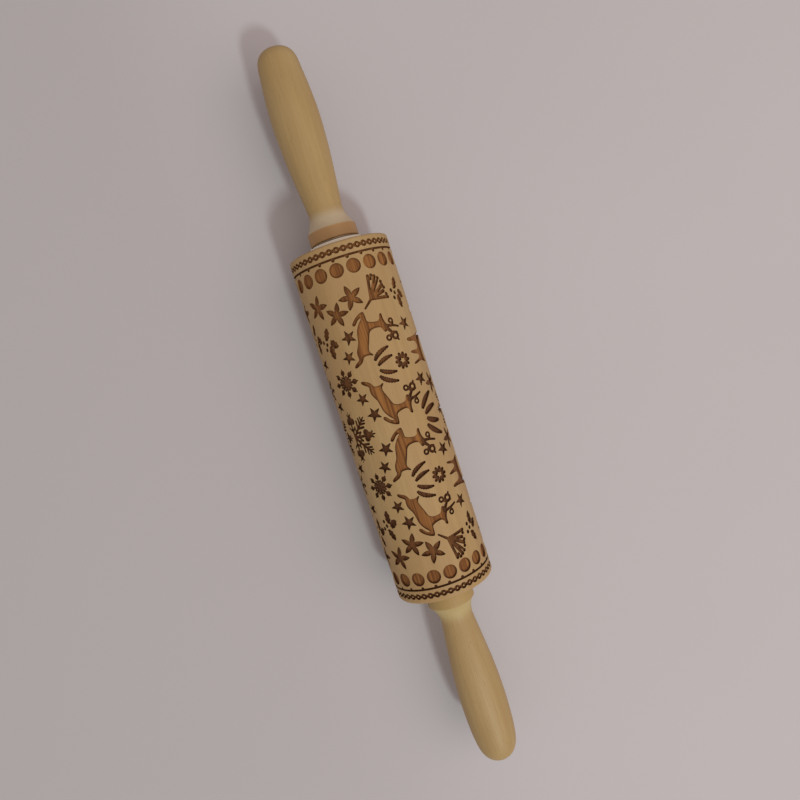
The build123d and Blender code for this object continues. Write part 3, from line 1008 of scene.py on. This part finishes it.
def moulded_bush(name):
    """Flanged bush: its spigot in the barrel's seat and its flange on the barrel's end."""
    side, inner_end, flange_face, flange = measured(name)
    edge = flange_edge_round
    profile = [
        (inner_end, bush_bore_radius), (inner_end, seat_radius - spigot_chamfer),
        (inner_end + spigot_chamfer, seat_radius), (half_barrel, seat_radius), (half_barrel, flange),
    ]
    profile += arc(flange_face - edge, flange - edge, edge, 90, 0, 4)
    profile += [(flange_face, bush_bore_radius)]
    bush = spun(name + "_moulded", [(side * x, radius) for x, radius in profile], True, bush_steps)
    smooth(bush)
    return bush


def pressed_washer(name):
    """Thin ring with rounded outer edges."""
    low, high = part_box(name)
    start, end = low.x / MM, high.x / MM
    edge = washer_edge_round
    outer = (high.z - low.z) / 2 / MM
    profile = [(start, washer_bore_radius), (start, outer - edge)]
    profile += arc(start + edge, outer - edge, edge, 180, 90, 4)[1:]
    profile += arc(end - edge, outer - edge, edge, 90, 0, 4)
    profile += [(end, washer_bore_radius)]
    washer = spun(name + "_pressed", profile, True, small_steps)
    smooth(washer)
    return washer


def drawn_axle():
    """Round rod with chamfered ends."""
    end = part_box("axle_rod")[1].x / MM
    half = [(end - axle_chamfer, axle_radius), (end, axle_radius - axle_chamfer), (end, 0.0)]
    profile = [(-x, radius) for x, radius in half[::-1]] + half
    axle = spun("axle_rod_drawn", profile, False, axle_steps)
    smooth(axle)
    return axle


finished(carved_barrel(), "barrel", "barrel", engraved_wood())

nylon = fine_plastic()
washer_steel = drawn_steel("washer_steel", 0.42, 168, (1.0, 0.87, 0.70))
for bush, washer in (("left_bush", "left_washer"), ("right_bush", "right_washer")):
    finished(moulded_bush(bush), "barrel", bush, nylon)
    finished(pressed_washer(washer), "washers", washer, washer_steel)

finished(drawn_axle(), "handle_set", "axle_rod", drawn_steel("axle_steel", 0.3, 190))

# Turning of the two handles: places along the grip with the radius there as a share of the
# grip's, and along the flare with how much of its fall from collar to neck is left
left_turning = {
    "neck": 8.65, "grip": 12.0, "nose_share": 0.13, "bluntness": 3.2,
    "shares": (
        (0.21, 0.86), (0.37, 0.95), (0.57, 1.0), (0.74, 0.948), (0.84, 0.885), (0.92, 0.842), (1.0, 0.80),
    ),
    "falls": ((0.21, 0.66), (0.5, 0.29), (0.77, 0.07)),
}
right_turning = {
    "neck": 8.5, "grip": 11.95, "nose_share": 0.17, "bluntness": 2.8,
    "shares": (
        (0.17, 0.825), (0.36, 0.945), (0.57, 1.0), (0.76, 0.965), (0.86, 0.90), (0.93, 0.855), (1.0, 0.81),
    ),
    "falls": ((0.17, 0.62), (0.4, 0.30), (0.7, 0.08)),
}
# The left collar colour holds painted warm shade from the barrel's shadow, and both flare colours a painted
# sheen
for name, turning, seed, collar_tone_and_shade, flare_sheen_and_grain in (
    ("left_handle", left_turning, 0.11, rgb(182, 134, 90), rgb(196, 177, 150)),
    ("right_handle", right_turning, 0.83, rgb(170, 141, 85), rgb(183, 161, 111)),
):
    wood = handle_wood(name, seed, collar_tone_and_shade, flare_sheen_and_grain)
    finished(turned_handle(name, **turning), "handle_set", name, wood)

# Floor, light and camera

bpy.ops.object.select_all(action="DESELECT")
bpy.ops.mesh.primitive_plane_add(size=8.0)
floor = bpy.context.active_object
floor.name = "floor"
floor.data.materials.append(pale_floor())

scene = bpy.context.scene
world = bpy.data.worlds.new("soft_room")
scene.world = world
world.use_nodes = True
background = world.node_tree.nodes["Background"]
background.inputs["Color"].default_value = (1.0, 0.935, 0.905, 1.0)
background.inputs["Strength"].default_value = 0.46


def soft_lamp(name, place, size, power, colour):
    """Square lamp that points at the middle of the pin."""
    data = bpy.data.lights.new(name, "AREA")
    data.shape = "SQUARE"
    data.size = size
    data.energy = power
    data.color = colour
    lamp = bpy.data.objects.new(name, data)
    scene.collection.objects.link(lamp)
    lamp.location = place
    direction = Vector((0.0, 0.0, axis_height)) - lamp.location
    lamp.rotation_euler = direction.to_track_quat("-Z", "Y").to_euler()


soft_lamp("lamp", place=(2.51, 0.50, 3.1), size=0.4, power=52.5, colour=(0.81, 0.98, 1.0))
soft_lamp("window", place=(0.15, 0.45, 0.9), size=1.1, power=3.9, colour=(1.0, 0.84, 0.79))

# Camera at the photograph's angle: nearly straight above the pin, which runs down the picture.
# The world is turned about Z first, and then tipped about X and Y until it faces the lens.
camera_place = (-0.0336601, -0.0244021, 0.3463194)
turn_about_z, tip_about_x, tip_about_y = -1.2523378, 0.0459018, 0.1155664
tipped = Matrix.Rotation(tip_about_y, 4, "Y") @ Matrix.Rotation(tip_about_x, 4, "X")
seen = (tipped @ Matrix.Rotation(turn_about_z, 4, "Z")).to_3x3().transposed().to_4x4()
seen.translation = Vector(camera_place)
camera_data = bpy.data.cameras.new("camera")
camera_data.sensor_width = 36.0
camera_data.lens = 28.853
camera_data.clip_start = 0.01
camera = bpy.data.objects.new("camera", camera_data)
scene.collection.objects.link(camera)
camera.matrix_world = seen
scene.camera = camera
scene.view_settings.view_transform = "Standard"
